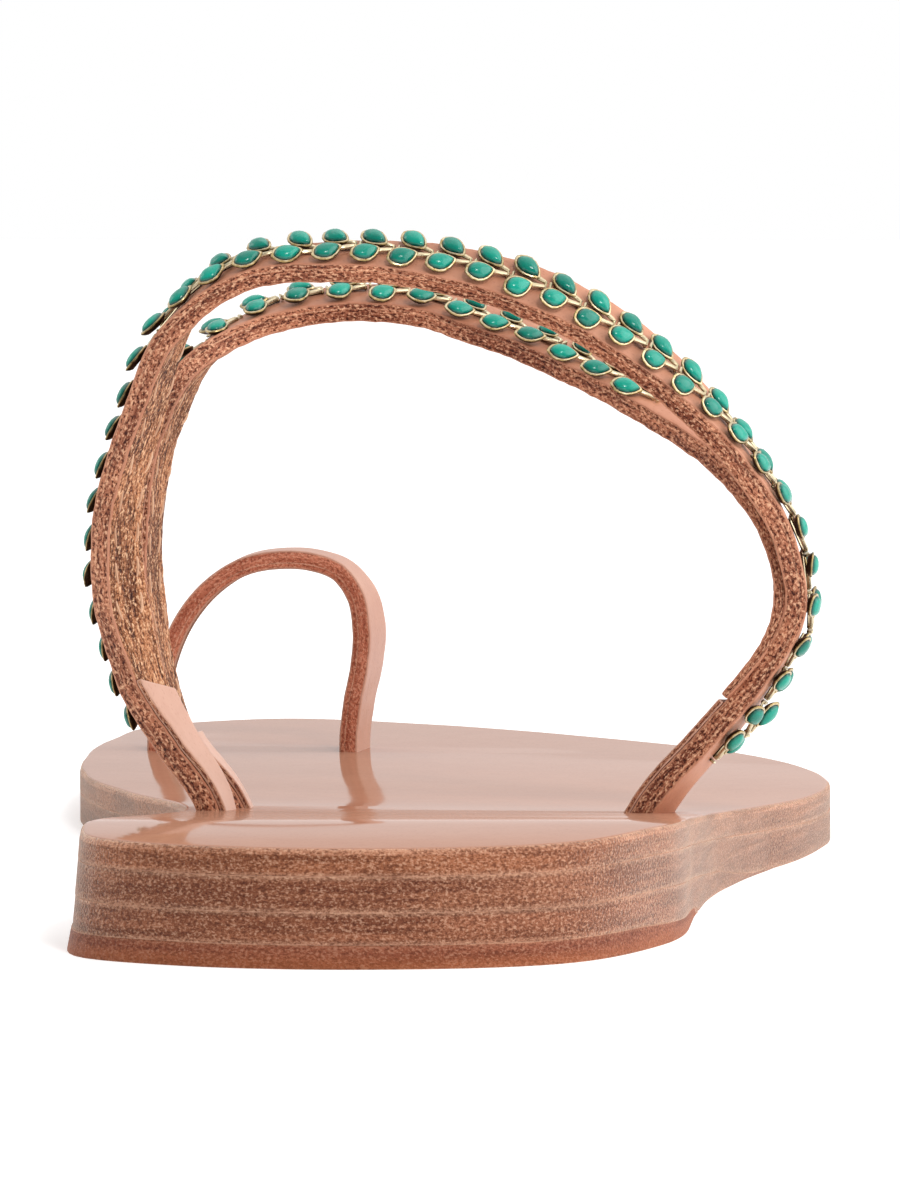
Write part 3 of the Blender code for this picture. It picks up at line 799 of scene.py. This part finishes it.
# Leaf chain
leafForm = {
    "length": 3.75,
    "width": 2.5,
    "sides": 16,
    "pinch": 1.45,  # how pointed the ends are
    "lead": 0.25,  # how far its broadest place lies towards the tip
    "splay": 38.0,  # degrees from the line of the chain
    "offset": 1.65,  # from that line to the middle of a leaf
    "stagger": 0.8,  # of the leaf nearer the toe, along the strap
    "droop": (18.0, 8.0),  # degrees by which the heel side of a leaf hangs down, in the two rows
    "hang": 0.36,  # share of its width by which a hanging leaf is raised
    "stem": (0.6, 0.4),  # width and thickness of a stem
    "stemFrom": 0.4,  # share of a leaf's length from its middle to the stem
    "stemTaper": 0.75,
    "stemRise": 0.5,
    "apex": 3.0,  # from the middle of a leaf to its joint
    "jointHalf": 0.32,  # from the line of the chain to the end of a stem
    "plate": (0.3, 1.1, 0.7),  # of a joint
    "plateGap": 0.55,
    "spine": (4.0, 0.45, 0.25),
    "barRound": 0.12,
    "barFoot": {"stem": 0.5, "plate": 0.2, "spine": 0.1},  # rise at the foot of a bar; where low it gets the near-black of tarnish and painted shade
    "standOff": 0.02,  # over the strap
    "shake": 3.5,  # degrees by which the sewn leaves differ
    "shakeLift": 0.06,  # and how far they stand up
    "looseRun": 0.008,  # share of the strap over which the chain is loose
}
# Rings of a leaf from its foot up: share of the outline, height
leafRings = (
    (0.66, 0.0), (0.84, 0.2), (0.97, 0.44), (1.0, 0.54), (0.96, 0.64), (0.85, 0.68), (0.81, 0.64),
    (0.76, 0.86), (0.61, 1.08), (0.35, 1.23),
)
enamelRing = 6  # the ring from which a leaf is enamel
leafTop = 1.29


def meshArrays(piece):
    mesh = piece.data
    faces = [tuple(face.vertices) for face in mesh.polygons]
    kinds = np.array([face.material_index for face in mesh.polygons])
    return getPoints(piece), faces, kinds


def modelLeaf():
    sides = leafForm["sides"]
    deselectAll()
    bpy.ops.mesh.primitive_circle_add(vertices=sides, radius=0.5, fill_type="NGON")
    leaf = bpy.context.object
    ring = getPoints(leaf)
    turn = np.arctan2(ring[:, 1], ring[:, 0])
    swell = np.sign(np.sin(turn)) * np.abs(np.sin(turn)) ** leafForm["pinch"]
    swell = swell * (1 + leafForm["lead"] * np.cos(turn))
    half = np.array([leafForm["length"], leafForm["width"], 0]) / 2
    outline = np.column_stack([np.cos(turn), swell, turn]) * half
    setPoints(leaf, outline * leafRings[0][0])
    bpy.ops.object.mode_set(mode="EDIT")
    bpy.ops.mesh.select_all(action="SELECT")
    for (before, low), (after, high) in zip(leafRings, leafRings[1:]):
        bpy.ops.mesh.extrude_region_move(TRANSFORM_OT_translate={"value": (0, 0, high - low)})
        grow = after / before
        bpy.ops.transform.resize(value=(grow, grow, 1), center_override=(0, 0, 0))
    bpy.ops.mesh.poke(offset=leafTop - leafRings[-1][1])
    bpy.ops.mesh.select_all(action="SELECT")
    bpy.ops.mesh.normals_make_consistent(inside=False)
    bpy.ops.object.mode_set(mode="OBJECT")
    for face in leaf.data.polygons:
        face.material_index = int(min(face.vertices) >= enamelRing * sides)
    return leaf


def modelBar(size, spot, turn, taper):  # a small bar with rounded edges
    deselectAll()
    bpy.ops.mesh.primitive_cube_add(size=1.0)
    bar = bpy.context.object
    setPoints(bar, getPoints(bar) * size)
    pick(bar, "FACE", lambda face: face.normal.x > 0.9)
    bpy.ops.transform.resize(value=(1, taper, 1), center_override=(0, 0, 0))
    bpy.ops.mesh.select_all(action="SELECT")
    bpy.ops.mesh.bevel(offset=leafForm["barRound"], segments=1, affect="EDGES")
    bpy.ops.object.mode_set(mode="OBJECT")
    spin = np.array(Matrix.Rotation(turn, 3, "Z"))
    setPoints(bar, getPoints(bar) @ spin.T + np.array(spot))
    return bar


def modelLink():  # a pair of leaves on two stems that meet in a joint, in millimetres
    splay = math.radians(leafForm["splay"])
    leaf = modelLeaf()
    leafPoints, leafFaces, leafKinds = meshArrays(leaf)
    bpy.data.objects.remove(leaf)
    points = []
    faces = []
    kinds = []
    leafIds = []
    rises = []

    def gather(newPoints, newFaces, newKinds, leafId, rise):
        start = sum(len(p) for p in points)
        points.append(newPoints)
        faces.extend(tuple(start + v for v in face) for face in newFaces)
        kinds.append(newKinds)
        leafIds.append(np.full(len(newPoints), leafId))
        rises.append(rise)

    def addBar(kind, size, spot, turn, leafId, taper=1.0):
        foot = leafForm["barFoot"][kind]
        bar = modelBar(size, spot, turn, taper)
        barPoints, barFaces, barKinds = meshArrays(bar)
        bpy.data.objects.remove(bar)
        low, high = barPoints[:, 2].min(), barPoints[:, 2].max()
        rise = foot + (1 - foot) * (barPoints[:, 2] - low) / (high - low)
        gather(barPoints, barFaces, barKinds, leafId, rise)

    wide, thick = leafForm["stem"]
    for leafId, side in enumerate((-1, 1)):
        tip = np.array([-math.cos(splay), side * math.sin(splay), 0])
        broad = np.cross([0, 0, 1], tip)
        middle = np.array([leafId * leafForm["stagger"], side * leafForm["offset"], 0])
        droop = math.radians(leafForm["droop"][leafId])
        hung = leafPoints @ np.array(Matrix.Rotation(-droop, 3, "X")).T
        hung[:, 2] += leafForm["width"] * leafForm["hang"] * math.sin(droop)
        spots = middle + hung @ np.array([tip, broad, [0, 0, 1]])
        gather(spots, leafFaces, leafKinds, leafId, leafPoints[:, 2] / leafTop)
        base = middle - tip * leafForm["length"] * leafForm["stemFrom"]
        joint = np.array([leafForm["apex"], side * leafForm["jointHalf"], 0])
        reach = joint - base
        spot = (base + joint) / 2 + (0, 0, leafForm["stemRise"])
        size = (np.linalg.norm(reach), wide, thick)
        addBar("stem", size, spot, math.atan2(reach[1], reach[0]), leafId, leafForm["stemTaper"])
    plate = leafForm["plate"]
    for i in range(2):
        addBar("plate", plate, (leafForm["apex"] + i * leafForm["plateGap"], 0, plate[2] / 2), 0.0, i)
    spine = leafForm["spine"]
    addBar("spine", spine, (leafForm["apex"] - spine[0] / 2, 0, spine[2] / 2), 0.0, 0)
    return np.vstack(points), faces, *(np.concatenate(part) for part in (kinds, leafIds, rises))


def joinCopies(name, copies, faces, kinds, attributes, finishList):
    count = len(copies)
    size = copies[0].shape[0]
    mesh = bpy.data.meshes.new(name)
    every = [tuple(v + i * size for v in face) for i in range(count) for face in faces]
    mesh.from_pydata((np.vstack(copies) * mm + heelOrigin).tolist(), [], every)
    piece = bpy.data.objects.new(name, mesh)
    bpy.context.scene.collection.objects.link(piece)
    dressPiece(piece, finishList)
    mesh.polygons.foreach_set("material_index", np.tile(kinds, count).astype(np.int32))
    for key, values in attributes.items():
        layer = mesh.attributes.new(key, "FLOAT", "POINT")
        layer.data.foreach_set("value", np.asarray(values, np.float32))
    smoothShade(piece, 35)
    return piece


def leafChain(name, strip, first, pitch, pairs, seed, drift, loose=()):
    linkPoints, faces, kinds, leafIds, rises = leafLink
    dice = np.random.default_rng(seed)
    shares = (first + pitch * np.arange(pairs)) / strip.length
    middle, along, across, outward = strip.sections(shares)
    line = smoothCurve([share for share, _ in drift], [[shift] for _, shift in drift], shares)[:, 0]
    base = strip.thick / 2 + leafForm["standOff"] + strip.lift(shares, line)
    copies = []
    tones = []
    for i in range(pairs):
        turns = np.radians(dice.normal(0, leafForm["shake"], 3))
        lift = dice.uniform(0, leafForm["shakeLift"])
        for share, amount, turned in loose:
            near = bell(shares[i], share, leafForm["looseRun"])
            lift += amount * near
            turns = turns + np.radians(turned) * near
        local = linkPoints @ np.array(Euler(turns).to_matrix()).T
        axes = np.array([along[i], across[i], outward[i]])
        copies.append(middle[i] + across[i] * line[i] + outward[i] * (base[i] + lift) + local @ axes)
        tones.append(dice.uniform(0, 1, 2)[leafIds])
    attributes = {"rise": np.tile(rises, pairs), "tone": np.concatenate(tones)}
    return joinCopies(name, copies, faces, kinds, attributes, [leafGold, leafEnamel])


leafLink = modelLink()
# How far each chain drifts from the middle of its strap: share of the length, towards the toe
rearDrift = (
    (0, 0.0), (0.25, -0.2), (0.36, -0.6), (0.43, -0.5), (0.52, -0.4),
    (0.62, -0.7), (0.74, -0.7), (0.88, -0.2), (1, 0.0),
)
frontDrift = ((0, 0.0), (0.3, 0.0), (0.45, -0.2), (0.56, -0.8), (0.66, -1.3), (1, -1.3))
rearLoose = ((0.893, 0.4, (16, -10, 14)),)  # share of the length, lift, turn in degrees
rearChain = leafChain(
    "rear_leaf_chain", rearStrap, first=14.8, pitch=3.99, pairs=38, seed=11, drift=rearDrift, loose=rearLoose
)
place(rearChain, "enamelled_brass", "leaf_chain_rear")
frontChain = leafChain(
    "front_leaf_chain", frontStrap, first=14.1, pitch=4.3, pairs=23, seed=23, drift=frontDrift
)
place(frontChain, "enamelled_brass", "leaf_chain_front")

# Stitches that hold the chains, on the inner face
stitchForm = {
    "length": 4.4,
    "radius": 0.24,
    "sides": 6,
    "bends": 6,
    "sink": 1.8,  # radii by which the ends go down into the leather
    "bow": 0.5,
    "rows": (-1.5, 1.5),
    "pitch": 4.1,
    "press": 0.06,  # how deep a stitch lies in the flesh side
    "slant": 9.0,  # degrees, and by how much it differs
    "slantSpread": 4.0,
    "rowSpread": 0.15,
}


def modelStitch():
    deselectAll()
    bpy.ops.mesh.primitive_cylinder_add(
        vertices=stitchForm["sides"], radius=stitchForm["radius"], depth=stitchForm["length"],
        rotation=(0, math.pi / 2, 0),
    )
    stitch = bpy.context.object
    bpy.ops.object.transform_apply(location=True, rotation=True, scale=True)
    bpy.ops.object.mode_set(mode="EDIT")
    for i in range(1, stitchForm["bends"]):
        cutAt((stitchForm["length"] * (i / stitchForm["bends"] - 0.5), 0, 0), (1, 0, 0))
    bpy.ops.object.mode_set(mode="OBJECT")
    points = getPoints(stitch)
    bend = (2 * points[:, 0] / stitchForm["length"]) ** 2
    points[:, 2] -= bend * stitchForm["radius"] * stitchForm["sink"]
    points[:, 1] += (1 - bend) * stitchForm["bow"]
    setPoints(stitch, points)
    return stitch


def stitchRun(name, strip, reach, seed):
    stitch = modelStitch()
    points, faces, kinds = meshArrays(stitch)
    bpy.data.objects.remove(stitch)
    dice = np.random.default_rng(seed)
    count = int((reach[1] - reach[0]) * strip.length / stitchForm["pitch"])
    copies = []
    tones = []
    for row in stitchForm["rows"]:
        for share in np.linspace(*reach, count):
            slant = math.radians(dice.normal(stitchForm["slant"] * np.sign(row), stitchForm["slantSpread"]))
            x = points[:, 0] * math.cos(slant) - points[:, 1] * math.sin(slant)
            y = points[:, 0] * math.sin(slant) + points[:, 1] * math.cos(slant) * np.sign(row)
            height = -(strip.thick / 2 - stitchForm["press"]) - points[:, 2]
            sideways = row + y + dice.normal(0, stitchForm["rowSpread"])
            copies.append(strip.spots(share + x / strip.length, sideways, height))
            tones.append(np.full(len(points), dice.uniform(0, 1)))
    piece = joinCopies(name, copies, faces, kinds, {"tone": np.concatenate(tones)}, [stitchThread])
    place(piece, None)


stitchRun("rear_strap_stitches", rearStrap, (0.15, 0.76), 5)
stitchRun("front_strap_stitches", frontStrap, (0.08, 0.8), 8)

# Floor, light and camera
stageForm = {
    "floorSize": 12.0,
    "floorTone": 0.94,
    "floorGlow": 0.22,
    "worldFront": 0.26,  # light of the surroundings from the camera's side
    "worldBack": 1.0,
    "worldReach": (-0.8, 0.5),  # directions between which it changes
    "topLight": 0.8,
    "topTurn": (-12.0, 6.0, 0.0),
    "topSpread": 70.0,
    "aim": (0.0, 0.0, 0.03),
    "lamps": {  # place, size, watts
        "right_light": ((1.1, -0.2, 0.5), 1.5, 14.0),
        "left_light": ((-1.0, 0.2, 0.55), 0.6, 1.6),
        "front_light": ((0.3, -0.75, 0.65), 0.14, 3.0),
    },
    "cameraPlace": (59.9, -763.4, 80.8),  # millimetres from the back of the heel
    "cameraTurn": (86.69, 0.0, 3.71),
    "lens": 234.0,
    "sensor": 36.0,
}


def toRadians(turn):
    return [math.radians(angle) for angle in turn]


def softLight(name, where, size, watts):
    bpy.ops.object.light_add(type="AREA", location=where)
    lamp = bpy.context.object
    lamp.name = name
    lamp.data.shape = "DISK"
    lamp.data.size = size
    lamp.data.energy = watts
    lamp.rotation_euler = (Vector(stageForm["aim"]) - Vector(where)).to_track_quat("-Z", "Y").to_euler()


def makeStage():
    deselectAll()
    bpy.ops.mesh.primitive_plane_add(size=stageForm["floorSize"])
    floor = bpy.context.object
    floor.name = "pale_floor"
    made, _ = startFinish("pale_floor")
    tone = stageForm["floorTone"]
    dressPiece(floor, [endFinish(made, {
        "Base Color": rgb(tone, tone, tone), "Roughness": 0.9, "Emission Color": rgb(1, 1, 1),
        "Emission Strength": stageForm["floorGlow"],
    })])
    world = bpy.data.worlds.new("light_tent")
    bpy.context.scene.world = world
    world.use_nodes = True
    flow = Flow(world.node_tree)
    side = flow.node("SeparateXYZ", None, {0: flow.node("TexCoord", None, None, "Generated")}, "Y")
    low, high = stageForm["worldReach"]
    front, back = stageForm["worldFront"], stageForm["worldBack"]
    strength = flow.node("MapRange", None, {0: side, 1: low, 2: high, 3: front, 4: back})
    ground = world.node_tree.nodes["Background"]
    ground.inputs["Color"].default_value = rgb(1, 1, 1)
    world.node_tree.links.new(strength.socket, ground.inputs["Strength"])
    bpy.ops.object.light_add(type="SUN", rotation=toRadians(stageForm["topTurn"]))
    bpy.context.object.data.energy = stageForm["topLight"]
    bpy.context.object.data.angle = math.radians(stageForm["topSpread"])
    for name, lamp in stageForm["lamps"].items():
        softLight(name, *lamp)
    bpy.ops.object.camera_add(
        location=heelOrigin + np.array(stageForm["cameraPlace"]) * mm,
        rotation=toRadians(stageForm["cameraTurn"]),
    )
    camera = bpy.context.object
    camera.data.lens = stageForm["lens"]
    camera.data.sensor_width = stageForm["sensor"]
    bpy.context.scene.camera = camera
    bpy.context.scene.view_settings.view_transform = "Standard"


makeStage()
deselectAll()
